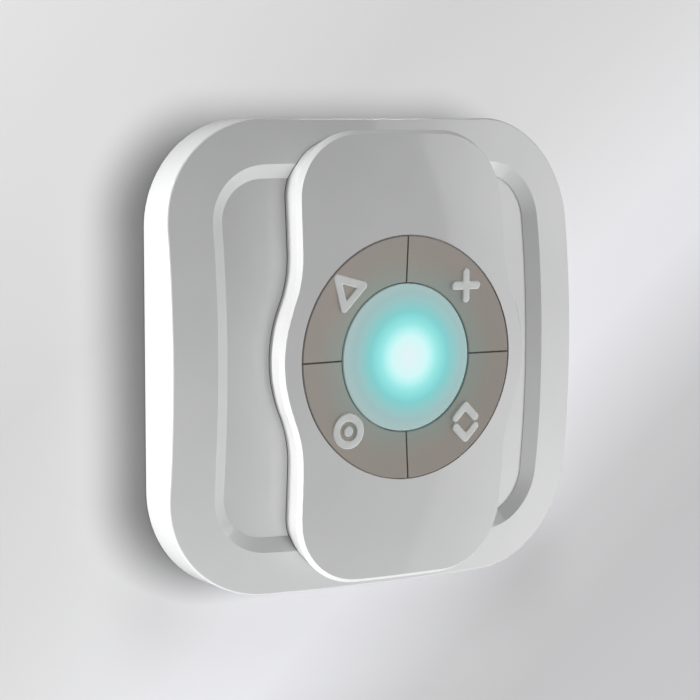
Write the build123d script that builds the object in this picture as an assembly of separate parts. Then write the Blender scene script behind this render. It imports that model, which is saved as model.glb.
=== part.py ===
# Wireless remote control that a magnet holds in a square wall plate.
#
# Sizes are in millimetres. Every piece is drawn lying down, as seen from the
# front: X to the right, Y up the wall and Z out of the wall, so a level is the
# distance from the wall. The last lines turn each piece upright, so that the
# written model has +Z up, its front faces -Y, and its origin is the centre of
# the wall plate's back.

from build123d import *
from math import atan2, cos, degrees, hypot, radians, sin, sqrt, tan
import os

# Wall plate
PLATE_SIZE = 80.0
PLATE_CORNER = 18.0
PLATE_APEX = 15.0
PLATE_CROWN = 163.0
PLATE_WALL = 1.8
PLATE_EDGE_ROUND = 0.4

# Trim recess in the plate's front, with a sloped wall all round
RECESS_MARGIN = 7.5
RECESS_DEPTH = 2.0
RECESS_SLOPE = 2.4
RECESS_CORNER = 7.6
RECESS_LAND = 0.25

# Dock for the remote, and what holds the plate to the wall
DOCK_FLOOR = 7.5
DOCK_GAP = 0.4
WALL_SCREW_SPACING = 60.0
WALL_SCREW_HOLE = 2.1
WALL_SCREW_HEAD = 4.2
WALL_BOSS_WALL = 1.6
RIB = 1.2
RIB_PITCH = 10.9
CROSS_RIB = 22.0
RIB_SETBACK = 0.5

# Remote: outline at the reference level, crown and side taper
REMOTE_MARGIN = 1.55
REMOTE_WAIST = 41.2
REMOTE_CORNER = 12.0
BELLY_BAND = 3.6
HOLLOW_RADIUS = 21.0
REFERENCE_LEVEL = 17.0
SIDE_TAPER = 14.0
REMOTE_APEX = 19.4
REMOTE_CROWN = 227.0
FRONT_BEVEL = 0.85
SHELL_WALL = 1.6
SEAT_GAP = 0.3

# Rear shell
REAR_WALL = 1.3
REAR_FLOOR = 1.4
SEAM_GAP = 0.15
BOARD_GAP = 0.3

# Button ring and light diffuser
RING_RADIUS = 20.45
RING_GAP = 0.2
LENS_RADIUS = 12.45
RING_DISH = 0.55
DIVISION_GAP = 0.3
CAP_WALL = 1.65
RIM_WALL = 0.9
FLANGE_WIDTH = 1.05
FLANGE_THICKNESS = 0.6
FLANGE_GAP = 0.15
LENS_WALL = 1.55
LENS_SPIGOT = 0.5
PRESS_TRAVEL = 0.35
EDGE_BREAK = 0.15

# Symbols moulded into the buttons: stroke and dot are for a sign of the drawn size, and the sign
# is scaled to the width of the button ring
SYMBOL_MARGIN = 1.0
DRAWN_SIZE = 5.8
DRAWN_STROKE = 1.15
DRAWN_DOT = 0.8
TRIANGLE_REACH = 1.3
CROSS_REACH = 0.95
CHEVRON_REACH = 1.2
CHEVRON_SPAN = 0.85
SYMBOL_RAISE = 0.35
SYMBOL_DEPTH = 0.8
SYMBOL_BAR = 0.4

# Circuit board and what stands on it
BOARD_LEVEL = 12.9
BOARD_THICKNESS = 1.0
BOARD_PLAY = 0.25
SOLDER = 0.05
SWITCH_SIZE = 4.5
SWITCH_HEIGHT = 1.5
PLUNGER_RADIUS = 1.0
PLUNGER_PROUD = 0.5
PLUNGER_GAP = 0.15
FRAME_THICKNESS = 0.8
FRAME_LIFT = 0.7
FRAME_FOOT = 2.0
GUIDE_PIN = 1.4
GUIDE_INSET = 2.0
GUIDE_ANGLE = 27.0
STUB = 2.6
LED_SIZE = 3.5
LED_HEIGHT = 1.4
LED_HOLE = 3.0
LED_LENS = 1.4
CUP_FLOOR = 1.0
CUP_WALL = 1.2
RADIO_GAP = 0.2
RADIO_WIDTH = 13.0
RADIO_DEPTH = 9.0
RADIO_BOARD = 0.8
RADIO_PITCH = 1.5
SHIELD_HEIGHT = 0.9
SHIELD_MARGIN = 1.25
CHIP_GAP = 1.5
CHIP_SIZE = 6.0
CHIP_HEIGHT = 0.9
PASSIVE_LENGTH = 1.6
PASSIVE_WIDTH = 0.8
PASSIVE_PITCH = 2.2

# Coin cell, its contacts and its bay
CELL_RADIUS = 10.0
CELL_HEIGHT = 3.2
CELL_STEP = 1.1
CELL_STEP_HEIGHT = 0.4
CELL_GAP = 0.3
LEAF = 0.15
LEAF_WIDTH = 4.0
LEAF_LENGTH = 12.0
CAP_THICKNESS = 1.4
CAP_RECESS = 0.3
CAP_GAP = 0.2
CAP_SKIRT = 0.7
CAP_SKIRT_WALL = 1.5
LUG_REACH = 1.4
LUG_ANGLE = 30.0
LUG_PLAY = 1.5
STOP_ANGLE = 6.0
UNLOCK_TURN = 45.0
BAY_WALL = 1.2
SHELF = 1.0
SLOT_LENGTH = 12.0
SLOT_WIDTH = 1.8
SLOT_DEPTH = 0.8

# Shell screws and the posts that they pass through
SCREW_GAP = 1.2
SCREW_END = 10.45
SCREW_RADIUS = 1.0
SCREW_HEAD_RADIUS = 1.9
SCREW_HEAD_HEIGHT = 1.3
SCREW_LENGTH = 6.6
SCREW_SINK = 0.5
SCREW_PLAY = 0.15
PILOT_PLAY = 0.05
DRIVE_WIDTH = 0.5
DRIVE_DEPTH = 0.6
BOSS_RADIUS = 3.3
POST_RADIUS = 3.6

# Magnets in the remote, and the steel discs in the plate that they hold to
MAGNET_Y = 19.0
MAGNET_RADIUS = 4.0
MAGNET_THICKNESS = 2.0
MAGNET_SKIN = 0.8
MAGNET_COLLAR = 1.0
KEEPER_RADIUS = 5.0
KEEPER_THICKNESS = 1.0
KEEPER_SKIN = 0.6
POCKET_GAP = 0.1

SIDES = (-1, 1)
QUADRANTS = {"top_left": (-1, 1), "top_right": (1, 1), "bottom_left": (-1, -1), "bottom_right": (1, -1)}


def sag(radius, distance):
    """How far a crown of this radius has dropped at a distance from its top."""
    return radius - sqrt(radius ** 2 - distance ** 2)


# Levels, radii and insets that follow from the sizes above
TALL = 2 * PLATE_APEX
TAPER = tan(radians(SIDE_TAPER))
REMOTE_HALF_HEIGHT = PLATE_SIZE / 2 - REMOTE_MARGIN
BELLY_RADIUS = RING_RADIUS + RING_GAP + BELLY_BAND
RECESS_FLOOR_SIDE = PLATE_SIZE - 2 * (RECESS_MARGIN + RECESS_SLOPE)
SEAM_LEVEL = PLATE_APEX - RECESS_DEPTH + SEAT_GAP - sag(PLATE_CROWN, hypot(REMOTE_WAIST, RECESS_FLOOR_SIDE) / 2)
CAVITY_INSET = (REFERENCE_LEVEL - SEAM_LEVEL) * TAPER + SHELL_WALL
REAR_INSET = CAVITY_INSET + SEAM_GAP
BOARD_INSET = CAVITY_INSET + BOARD_PLAY
DOCK_INSET = REAR_INSET - DOCK_GAP
DOCK_WEB = DOCK_FLOOR - PLATE_WALL
FLOOR_TOP = DOCK_FLOOR + REAR_FLOOR
REAR_TOP = BOARD_LEVEL - BOARD_GAP
BOARD_FRONT = BOARD_LEVEL + BOARD_THICKNESS
SOLDER_TOP = BOARD_FRONT + SOLDER
RING_LEVEL = REMOTE_APEX - sag(REMOTE_CROWN, RING_RADIUS)
LENS_LEVEL = RING_LEVEL - RING_DISH
LENS_UNDER = LENS_LEVEL - LENS_WALL
BUTTON_INNER = LENS_RADIUS + RING_GAP
BUTTON_MIDDLE = (BUTTON_INNER + RING_RADIUS) / 2
BUTTON_FACE = (RING_LEVEL + LENS_LEVEL) / 2
CAP_UNDER = RING_LEVEL - CAP_WALL
FLANGE_RADIUS = RING_RADIUS + FLANGE_WIDTH
RADIO_Y = FLANGE_RADIUS + RADIO_GAP + RADIO_DEPTH / 2
CHIP_Y = -FLANGE_RADIUS - CHIP_GAP - CHIP_SIZE / 2
FLANGE_TOP = REMOTE_APEX - SHELL_WALL - sag(REMOTE_CROWN, FLANGE_RADIUS) - FLANGE_GAP
SYMBOL_FLOOR = BUTTON_FACE - SYMBOL_DEPTH
SYMBOL_SIZE = RING_RADIUS - BUTTON_INNER - 2 * SYMBOL_MARGIN
SYMBOL_STROKE = DRAWN_STROKE * SYMBOL_SIZE / DRAWN_SIZE
SYMBOL_DOT = DRAWN_DOT * SYMBOL_SIZE / DRAWN_SIZE
SWITCH_TOP = SOLDER_TOP + SWITCH_HEIGHT
PLUNGER_TOP = SWITCH_TOP + PLUNGER_PROUD
PLUNGER_FOOT = SOLDER_TOP + PRESS_TRAVEL + PLUNGER_GAP
FRAME_LEVEL = BOARD_FRONT + FRAME_LIFT
SHIELD_WIDTH = RADIO_WIDTH - 2 * SHIELD_MARGIN
SHIELD_DEPTH = RADIO_DEPTH - 2 * SHIELD_MARGIN
SHIELD_TOP = SOLDER_TOP + RADIO_BOARD + SHIELD_HEIGHT
CUP_RADIUS = LENS_RADIUS - 2 * PLUNGER_GAP
CAP_OUTER = DOCK_FLOOR + CAP_RECESS
CAP_INNER = CAP_OUTER + CAP_THICKNESS
CAP_RADIUS = CELL_RADIUS + CELL_GAP + CAP_SKIRT_WALL
CELL_LEVEL = CAP_INNER + CAP_GAP
CELL_TOP = CELL_LEVEL + CELL_HEIGHT
LUG_LEVEL = FLOOR_TOP + CAP_GAP
LUG_TOP = CAP_INNER + CAP_SKIRT
LUG_RADIUS = CAP_RADIUS + LUG_REACH
BAY_RADIUS = LUG_RADIUS + CELL_GAP
BORE_RADIUS = CELL_RADIUS + CELL_GAP + POCKET_GAP
SHELF_LEVEL = LUG_TOP + CELL_GAP
SCREW_X = RADIO_WIDTH / 2 + SCREW_GAP + BOSS_RADIUS
SCREW_Y = REMOTE_HALF_HEIGHT - SCREW_END
SCREW_SEAT = DOCK_FLOOR + SCREW_SINK + SCREW_HEAD_HEIGHT
SCREW_PLACES = [(x * SCREW_X, y * SCREW_Y) for x in SIDES for y in SIDES]
KEEPER_TOP = DOCK_FLOOR - KEEPER_SKIN


def under_crown(apex, radius):
    """All the room below a spherical crown with its top at apex."""
    return Pos(0, 0, apex - radius) * Rot(0, 90, 0) * Sphere(radius)


def disc(radius, low, high, x=0.0, y=0.0):
    """Cylinder between two levels."""
    return Pos(x, y, low) * Cylinder(radius, high - low, align=(Align.CENTER, Align.CENTER, Align.MIN))


def block(width, depth, low, high, x=0.0, y=0.0):
    """Block between two levels."""
    return Pos(x, y, low) * Box(width, depth, high - low, align=(Align.CENTER, Align.CENTER, Align.MIN))


def spun(points):
    """Solid of revolution of a closed outline given as radius and level."""
    return revolve(Plane.XZ * make_face(Polyline(points, close=True)), Axis.Z)


def wedge(middle, width, low, high):
    """Sector of a disc about Z, given by its middle angle and its width in degrees."""
    rays = [radians(middle + side * width / 2) for side in SIDES]
    tips = [(TALL * cos(ray), TALL * sin(ray)) for ray in rays]
    return Pos(0, 0, low) * extrude(make_face(Polyline([(0, 0), *tips], close=True)), high - low)


def on_circle(radius, angle):
    return radius * cos(radians(angle)), radius * sin(radians(angle))


def quadrant_middle(name):
    """The place of a quadrant's switch and symbol, half way across the button ring."""
    side_x, side_y = QUADRANTS[name]
    reach = BUTTON_MIDDLE / sqrt(2)
    return side_x * reach, side_y * reach


def guide_bars(name, size, low, high):
    """A button's two square guide pins, or the holes for them, one each side of its middle."""
    side_x, side_y = QUADRANTS[name]
    middle = degrees(atan2(side_y, side_x))
    bar = block(size, size, low, high, x=RING_RADIUS - GUIDE_INSET)
    return [Rot(0, 0, middle + side * GUIDE_ANGLE) * bar for side in SIDES]


def remote_outline(inset):
    """The remote's outline: straight waist, round belly and large corners, drawn in by inset."""
    waist = REMOTE_WAIST / 2
    hollow_x = waist + HOLLOW_RADIUS
    hollow_y = sqrt((BELLY_RADIUS + HOLLOW_RADIUS) ** 2 - hollow_x ** 2)
    belly_end = degrees(atan2(hollow_y, hollow_x))
    half_height = REMOTE_HALF_HEIGHT - inset
    side = waist - inset
    corner = REMOTE_CORNER - inset
    hollow = HOLLOW_RADIUS + inset
    corner_y = half_height - corner
    right = [
        CenterArc((side - corner, -corner_y), corner, -90, 90),
        Line((side, -corner_y), (side, -hollow_y)),
        CenterArc((hollow_x, -hollow_y), hollow, 180, -belly_end),
        CenterArc((0, 0), BELLY_RADIUS - inset, -belly_end, 2 * belly_end),
        CenterArc((hollow_x, hollow_y), hollow, 180 + belly_end, -belly_end),
        Line((side, hollow_y), (side, corner_y)),
        CenterArc((side - corner, corner_y), corner, 0, 90),
    ]
    left = [mirror(edge, Plane.YZ) for edge in right]
    ends = [Line((corner - side, y), (side - corner, y)) for y in (-half_height, half_height)]
    return make_face(Curve() + right + left + ends)


def remote_prism(inset, low, high):
    """The remote's outline drawn in by inset, carried straight from one level to another."""
    return Pos(0, 0, low) * extrude(remote_outline(inset), high - low)


def remote_taper(inset, low):
    """The remote's tapered body from a level to above its front, drawn in by inset."""
    start = (REFERENCE_LEVEL - low) * TAPER + inset
    return Pos(0, 0, low) * extrude(remote_outline(start), REMOTE_APEX + 1 - low, taper=-SIDE_TAPER)


def plate_outline(inset):
    side = PLATE_SIZE - 2 * inset
    return RectangleRounded(side, side, PLATE_CORNER - inset)


def plate_form():
    """The plate's outer form: crowned front with the sloped trim recess."""
    form = extrude(plate_outline(0), PLATE_APEX) & under_crown(PLATE_APEX, PLATE_CROWN)
    form = fillet(form.faces().sort_by(Axis.Z)[-1].edges(), PLATE_EDGE_ROUND)
    floor_outline = RectangleRounded(RECESS_FLOOR_SIDE, RECESS_FLOOR_SIDE, RECESS_CORNER)
    form -= extrude(floor_outline, PLATE_APEX) - under_crown(PLATE_APEX - RECESS_DEPTH, PLATE_CROWN)
    front = form.faces().sort_by(Axis.Z)[-1]
    rim = front.inner_wires()[0].edges()
    return chamfer(rim, length=RECESS_SLOPE, length2=RECESS_DEPTH - RECESS_LAND, reference=front)


def wall_plate():
    """Wall plate: open ribbed back, dock for the remote, screw bosses and keeper pockets."""
    screw_places = [(0, side * WALL_SCREW_SPACING / 2) for side in SIDES]
    recess_side = PLATE_SIZE - 2 * RECESS_MARGIN
    recess_outline = RectangleRounded(recess_side, recess_side, RECESS_CORNER + RECESS_SLOPE)
    recess_tub = extrude(recess_outline, PLATE_APEX)
    recess_tub -= under_crown(PLATE_APEX - RECESS_DEPTH - PLATE_WALL, PLATE_CROWN)
    room = extrude(plate_outline(PLATE_WALL), PLATE_APEX) & under_crown(PLATE_APEX - PLATE_WALL, PLATE_CROWN)
    room -= recess_tub
    room -= remote_prism(DOCK_INSET - PLATE_WALL, DOCK_WEB, TALL)
    rib_count = int((PLATE_SIZE - 2 * PLATE_WALL) / RIB_PITCH)
    for step in range(rib_count):
        place = (step - (rib_count - 1) / 2) * RIB_PITCH
        room -= block(RIB, PLATE_SIZE, RIB_SETBACK, TALL, x=place)
    for side in SIDES:
        room -= block(PLATE_SIZE, RIB, RIB_SETBACK, TALL, y=side * CROSS_RIB)
    for x, y in screw_places:
        room -= disc(WALL_SCREW_HEAD + WALL_BOSS_WALL, 0, TALL, x, y)
    plate = plate_form() - remote_prism(DOCK_INSET, DOCK_FLOOR, TALL) - room
    for side in SIDES:
        plate -= disc(KEEPER_RADIUS + POCKET_GAP, 0, KEEPER_TOP, y=side * MAGNET_Y)
    for x, y in screw_places:
        plate -= disc(WALL_SCREW_HOLE, 0, TALL, x, y)
        sink = WALL_SCREW_HEAD - WALL_SCREW_HOLE
        cone = spun([(0, DOCK_FLOOR - sink), (WALL_SCREW_HOLE, DOCK_FLOOR - sink),
                     (WALL_SCREW_HEAD, DOCK_FLOOR), (0, DOCK_FLOOR)])
        plate -= Pos(x, y, 0) * cone
    return plate


def keeper_discs():
    """Two steel discs pressed into the plate from behind, opposite the magnets."""
    one = disc(KEEPER_RADIUS, KEEPER_TOP - KEEPER_THICKNESS, KEEPER_TOP)
    return Compound(children=[Pos(0, side * MAGNET_Y, 0) * one for side in SIDES])


def remote_front_shell():
    """Front housing: crowned front with a bevelled edge, tapered side wall that follows the plate."""
    low = SEAM_LEVEL - SHELL_WALL
    body = remote_taper(0, low) & under_crown(REMOTE_APEX, REMOTE_CROWN)
    body = chamfer(body.faces().sort_by(Axis.Z)[-1].edges(), FRONT_BEVEL)
    inside_crown = under_crown(REMOTE_APEX - SHELL_WALL, REMOTE_CROWN)
    room = remote_prism(CAVITY_INSET, low, TALL) + disc(FLANGE_RADIUS + RING_GAP, low, TALL)
    body -= room & inside_crown
    body -= Pos(0, 0, SEAT_GAP) * plate_form()
    body -= disc(RING_RADIUS + RING_GAP, 0, TALL)
    body -= block(SHIELD_WIDTH + RING_GAP, SHIELD_DEPTH + RING_GAP, BOARD_FRONT, SHIELD_TOP + POCKET_GAP, y=RADIO_Y)
    boss_top = under_crown(REMOTE_APEX - SHELL_WALL / 2, REMOTE_CROWN)
    for x, y in SCREW_PLACES:
        body += disc(BOSS_RADIUS, BOARD_FRONT, TALL, x, y) & boss_top
        body -= disc(SCREW_RADIUS + PILOT_PLAY, BOARD_FRONT, SCREW_SEAT + SCREW_LENGTH + BOARD_GAP, x, y)
    return body


def cap_lugs(low, high, reach, width, turn=0.0):
    """The pair of bayonet lugs, or the room for them, as sectors of a ring."""
    ring = disc(reach, low, high) - disc(CAP_RADIUS - CAP_GAP, low, high)
    return (wedge(turn, width, low, high) + wedge(turn + 180, width, low, high)) & ring


def remote_rear_shell():
    """Rear housing: tub with the round battery bay, magnet pockets and screw posts."""
    shell = remote_prism(REAR_INSET, DOCK_FLOOR, REAR_TOP)
    shell -= remote_prism(REAR_INSET + REAR_WALL, FLOOR_TOP, TALL)
    for x, y in SCREW_PLACES:
        shell += disc(POST_RADIUS, FLOOR_TOP - EDGE_BREAK, BOARD_LEVEL, x, y)
    for side in SIDES:
        collar = MAGNET_RADIUS + POCKET_GAP + MAGNET_COLLAR
        magnet_floor = DOCK_FLOOR + MAGNET_SKIN
        shell += disc(collar, FLOOR_TOP - EDGE_BREAK, magnet_floor + MAGNET_THICKNESS, y=side * MAGNET_Y)
        shell -= disc(MAGNET_RADIUS + POCKET_GAP, magnet_floor, TALL, y=side * MAGNET_Y)
    shell += disc(BAY_RADIUS + BAY_WALL, FLOOR_TOP - EDGE_BREAK, SHELF_LEVEL + SHELF)
    shell += disc(BORE_RADIUS + BAY_WALL, SHELF_LEVEL, CELL_TOP - CELL_GAP)
    channel = disc(BAY_RADIUS, FLOOR_TOP, SHELF_LEVEL)
    stop_turns = (LUG_ANGLE / 2 + LUG_PLAY + STOP_ANGLE / 2, -UNLOCK_TURN - LUG_ANGLE / 2 - LUG_PLAY - STOP_ANGLE / 2)
    for turn in stop_turns:
        channel -= cap_lugs(FLOOR_TOP, SHELF_LEVEL, TALL, STOP_ANGLE, turn) - disc(CAP_RADIUS + CAP_GAP, 0, TALL)
    shell -= channel
    shell -= disc(BORE_RADIUS, DOCK_FLOOR, TALL)
    shell -= disc(CAP_RADIUS + CAP_GAP, DOCK_FLOOR, FLOOR_TOP)
    shell -= cap_lugs(DOCK_FLOOR, FLOOR_TOP, BAY_RADIUS, LUG_ANGLE + 2 * LUG_PLAY, -UNLOCK_TURN)
    for x, y in SCREW_PLACES:
        shell -= disc(SCREW_HEAD_RADIUS + CAP_GAP, DOCK_FLOOR, SCREW_SEAT, x, y)
        shell -= disc(SCREW_RADIUS + SCREW_PLAY, SCREW_SEAT, BOARD_LEVEL, x, y)
    return shell


def shell_screws():
    """Four cheese head screws that clamp rear shell, board and front shell together."""
    head_low = SCREW_SEAT - SCREW_HEAD_HEIGHT
    one = disc(SCREW_HEAD_RADIUS, head_low, SCREW_SEAT) + disc(SCREW_RADIUS, SCREW_SEAT, SCREW_SEAT + SCREW_LENGTH)
    drive = SCREW_HEAD_RADIUS * 1.2
    one -= block(drive, DRIVE_WIDTH, head_low, head_low + DRIVE_DEPTH)
    one -= block(DRIVE_WIDTH, drive, head_low, head_low + DRIVE_DEPTH)
    return Compound(children=[Pos(x, y, 0) * one for x, y in SCREW_PLACES])


def remote_magnets():
    """Two disc magnets in the rear shell's pockets."""
    low = DOCK_FLOOR + MAGNET_SKIN
    one = disc(MAGNET_RADIUS, low, low + MAGNET_THICKNESS)
    return Compound(children=[Pos(0, side * MAGNET_Y, 0) * one for side in SIDES])


def stroke(start, end):
    """One round-ended stroke of a symbol."""
    length = hypot(end[0] - start[0], end[1] - start[1])
    angle = degrees(atan2(end[1] - start[1], end[0] - start[0]))
    middle = Pos((start[0] + end[0]) / 2, (start[1] + end[1]) / 2)
    return middle * Rot(0, 0, angle) * SlotCenterToCenter(length, SYMBOL_STROKE)


def strokes(points):
    """Strokes from each point to the next."""
    return [stroke(start, end) for start, end in zip(points, points[1:])]


def symbol_outline(name):
    """Plain signs drawn upright: triangle, cross, ring with a dot, and chevrons up and down."""
    reach = (SYMBOL_SIZE - SYMBOL_STROKE) / 2
    if name == "top_left":
        corners = [on_circle(reach * TRIANGLE_REACH, angle) for angle in (90, 210, 330, 90)]
        return Sketch() + strokes(corners)
    if name == "top_right":
        tips = [on_circle(reach * CROSS_REACH, angle) for angle in (45, 225, 135, 315)]
        return Sketch() + [stroke(tips[0], tips[1]), stroke(tips[2], tips[3])]
    if name == "bottom_left":
        ring = Circle(SYMBOL_SIZE / 2) - Circle(SYMBOL_SIZE / 2 - SYMBOL_STROKE)
        return ring + Circle(SYMBOL_DOT)
    tip = reach * CHEVRON_REACH
    span = reach * CHEVRON_SPAN
    chevron = [(-span, tip - span), (0, tip), (span, tip - span)]
    opposite = [(-x, -y) for x, y in chevron]
    return Sketch() + strokes(chevron) + strokes(opposite)


def symbol(name):
    """Translucent insert of one symbol, its separate strokes joined by a bar below the surface.
    The upper two point away from the middle of the ring, and the lower two stand upright."""
    x, y = quadrant_middle(name)
    turn = degrees(atan2(y, x)) - 90 if name.startswith("top") else 0
    place = Pos(x, y, SYMBOL_FLOOR) * Rot(0, 0, turn)
    insert = place * extrude(symbol_outline(name), SYMBOL_DEPTH + SYMBOL_RAISE)
    if name.startswith("bottom"):
        insert += place * block(SYMBOL_STROKE / 2, SYMBOL_SIZE - SYMBOL_STROKE, 0, SYMBOL_BAR)
    return insert


def button(name):
    """One quadrant of the button ring: cap, flange below the front shell, stub and guide pins."""
    flange_under = FLANGE_TOP - FLANGE_THICKNESS
    rim = RING_RADIUS - RIM_WALL
    ring = spun([
        (BUTTON_INNER, CAP_UNDER), (rim, CAP_UNDER), (rim, flange_under), (FLANGE_RADIUS, flange_under),
        (FLANGE_RADIUS, FLANGE_TOP), (RING_RADIUS, FLANGE_TOP), (RING_RADIUS, RING_LEVEL - EDGE_BREAK),
        (RING_RADIUS - EDGE_BREAK, RING_LEVEL), (BUTTON_INNER + EDGE_BREAK, LENS_LEVEL),
        (BUTTON_INNER, LENS_LEVEL - EDGE_BREAK),
    ])
    side_x, side_y = QUADRANTS[name]
    shift = (TALL + DIVISION_GAP) / 2
    cap = ring & block(TALL, TALL, 0, TALL, side_x * shift, side_y * shift)
    cap += Pos(*quadrant_middle(name), 0) * Rot(0, 0, 45) * block(STUB, STUB, PLUNGER_TOP, CAP_UNDER + EDGE_BREAK)
    cap += guide_bars(name, GUIDE_PIN, PLUNGER_FOOT, CAP_UNDER + EDGE_BREAK)
    return cap - symbol(name)


def light_diffuser():
    """Translucent round window, level with the inner edge of the button ring."""
    spigot = CUP_RADIUS - CUP_WALL - PLUNGER_GAP
    spigot_level = LENS_UNDER - LENS_SPIGOT
    return spun([(0, spigot_level), (spigot, spigot_level), (spigot, LENS_UNDER), (LENS_RADIUS, LENS_UNDER),
                 (LENS_RADIUS, LENS_LEVEL - EDGE_BREAK), (LENS_RADIUS - EDGE_BREAK, LENS_LEVEL), (0, LENS_LEVEL)])


def reflector_cup():
    """White cup round the light source, which the diffuser closes."""
    floor_top = BOARD_FRONT + CUP_FLOOR
    mouth = CUP_RADIUS - CUP_WALL
    cup = disc(CUP_RADIUS, BOARD_FRONT, LENS_UNDER)
    cup -= spun([(0, floor_top), (LED_HOLE, floor_top), (mouth, LENS_UNDER - LENS_SPIGOT), (mouth, LENS_UNDER),
                 (0, LENS_UNDER)])
    return cup - disc(LED_HOLE, BOARD_FRONT, floor_top)


def status_led():
    """Square light source with a round lens on top."""
    base_top = SOLDER_TOP + LED_HEIGHT / 2
    base = block(LED_SIZE, LED_SIZE, SOLDER_TOP, base_top)
    return base + disc(LED_LENS, base_top, SOLDER_TOP + LED_HEIGHT)


def button_frame():
    """Carrier ring that guides the buttons, with a window over each switch."""
    frame = disc(FLANGE_RADIUS, FRAME_LEVEL, FRAME_LEVEL + FRAME_THICKNESS)
    frame -= disc(CUP_RADIUS + RING_GAP, 0, TALL)
    for angle in (0, 90, 180, 270):
        frame += Rot(0, 0, angle) * block(FRAME_FOOT, FRAME_FOOT, BOARD_FRONT, FRAME_LEVEL, x=RING_RADIUS - FRAME_FOOT)
    window = SWITCH_SIZE + 4 * PLUNGER_GAP
    for name in QUADRANTS:
        x, y = quadrant_middle(name)
        frame -= Pos(x, y, 0) * Rot(0, 0, 45) * block(window, window, 0, TALL)
        frame -= guide_bars(name, GUIDE_PIN + 2 * PLUNGER_GAP, 0, TALL)
    return frame


def switch_bodies():
    """Four push switches on the board, each with a bore for its plunger."""
    one = Rot(0, 0, 45) * block(SWITCH_SIZE, SWITCH_SIZE, SOLDER_TOP, SWITCH_TOP)
    one = chamfer(one.edges().filter_by(Axis.Z), SWITCH_SIZE / 10)
    one -= disc(PLUNGER_RADIUS + PLUNGER_GAP, SOLDER_TOP, SWITCH_TOP)
    return Compound(children=[Pos(*quadrant_middle(name), 0) * one for name in QUADRANTS])


def plunger(name):
    """The switch's plunger, which the button's stub presses."""
    x, y = quadrant_middle(name)
    return disc(PLUNGER_RADIUS, PLUNGER_FOOT, PLUNGER_TOP, x, y)


def circuit_board():
    """Board clamped between the rear shell's posts and the front shell's bosses."""
    board = remote_prism(BOARD_INSET, BOARD_LEVEL, BOARD_FRONT)
    for x, y in SCREW_PLACES:
        board -= disc(SCREW_RADIUS + SCREW_PLAY, 0, TALL, x, y)
    return board


def radio_module():
    """Small board of the radio, with castellated edges."""
    module = block(RADIO_WIDTH, RADIO_DEPTH, SOLDER_TOP, SOLDER_TOP + RADIO_BOARD, y=RADIO_Y)
    notch = RADIO_PITCH / 2
    for side in SIDES:
        for step in (-2, -1, 0, 1, 2):
            module -= block(notch, notch, 0, TALL, side * RADIO_WIDTH / 2, RADIO_Y + step * RADIO_PITCH)
    return module


def radio_shield():
    """Metal can over the radio's chips."""
    low = SOLDER_TOP + RADIO_BOARD
    can = block(SHIELD_WIDTH, SHIELD_DEPTH, low, SHIELD_TOP, y=RADIO_Y)
    can = chamfer(can.edges().filter_by(Axis.Z) + can.edges().group_by(Axis.Z)[-1], EDGE_BREAK)
    inside = 2 * LEAF
    return can - block(SHIELD_WIDTH - inside, SHIELD_DEPTH - inside, low, SHIELD_TOP - LEAF, y=RADIO_Y)


def control_chip():
    """The remote's controller."""
    chip = block(CHIP_SIZE, CHIP_SIZE, SOLDER_TOP, SOLDER_TOP + CHIP_HEIGHT, y=CHIP_Y)
    dot = CHIP_SIZE / 3
    return chip - disc(SYMBOL_BAR, SOLDER_TOP + CHIP_HEIGHT - LEAF, TALL, -dot, CHIP_Y + dot)


def small_components():
    """Crystal and rows of capacitors and resistors beside the controller."""
    row_x = CHIP_SIZE / 2 + PASSIVE_LENGTH
    top = SOLDER_TOP + PASSIVE_WIDTH
    pieces = []
    for side in SIDES:
        for step in (-1, 0, 1):
            place_y = CHIP_Y + step * PASSIVE_PITCH
            pieces.append(block(PASSIVE_LENGTH, PASSIVE_WIDTH, SOLDER_TOP, top, side * row_x, place_y))
    crystal_y = CHIP_Y - CHIP_SIZE / 2 - PASSIVE_LENGTH
    crystal = block(2 * PASSIVE_LENGTH, PASSIVE_LENGTH, SOLDER_TOP, top, y=crystal_y)
    return Compound(children=pieces + [crystal])


def coin_cell():
    """Lithium coin cell, its smaller pole towards the board."""
    step = CELL_TOP - CELL_STEP_HEIGHT
    return spun([(0, CELL_LEVEL), (CELL_RADIUS - EDGE_BREAK, CELL_LEVEL), (CELL_RADIUS, CELL_LEVEL + EDGE_BREAK),
                 (CELL_RADIUS, step), (CELL_RADIUS - CELL_STEP, step), (CELL_RADIUS - CELL_STEP, CELL_TOP),
                 (0, CELL_TOP)])


def cell_contact_negative():
    """Bowed leaf spring between the board and the cell's smaller pole."""
    end = LEAF_LENGTH / 2
    knee = end / 4
    heel = end * 0.7
    upper = [(-end, BOARD_LEVEL), (-heel, BOARD_LEVEL), (-knee, CELL_TOP + LEAF),
             (knee, CELL_TOP + LEAF), (heel, BOARD_LEVEL), (end, BOARD_LEVEL)]
    lower = [(end, BOARD_LEVEL - LEAF), (heel, BOARD_LEVEL - LEAF), (knee, CELL_TOP),
             (-knee, CELL_TOP), (-heel, BOARD_LEVEL - LEAF), (-end, BOARD_LEVEL - LEAF)]
    side = make_face(Polyline([*upper, *lower], close=True))
    return extrude(Plane.XZ * side, LEAF_WIDTH / 2, both=True)


def cell_contact_positive():
    """Angled leaf that stands beside the cell and is soldered to the board."""
    inner = CELL_RADIUS + PILOT_PLAY
    blade = block(LEAF, LEAF_WIDTH, SHELF_LEVEL + CAP_GAP, BOARD_LEVEL, x=inner + LEAF / 2)
    foot = block(LEAF_WIDTH, LEAF_WIDTH, BOARD_LEVEL - LEAF, BOARD_LEVEL, x=inner + LEAF_WIDTH / 2)
    return blade + foot


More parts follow.
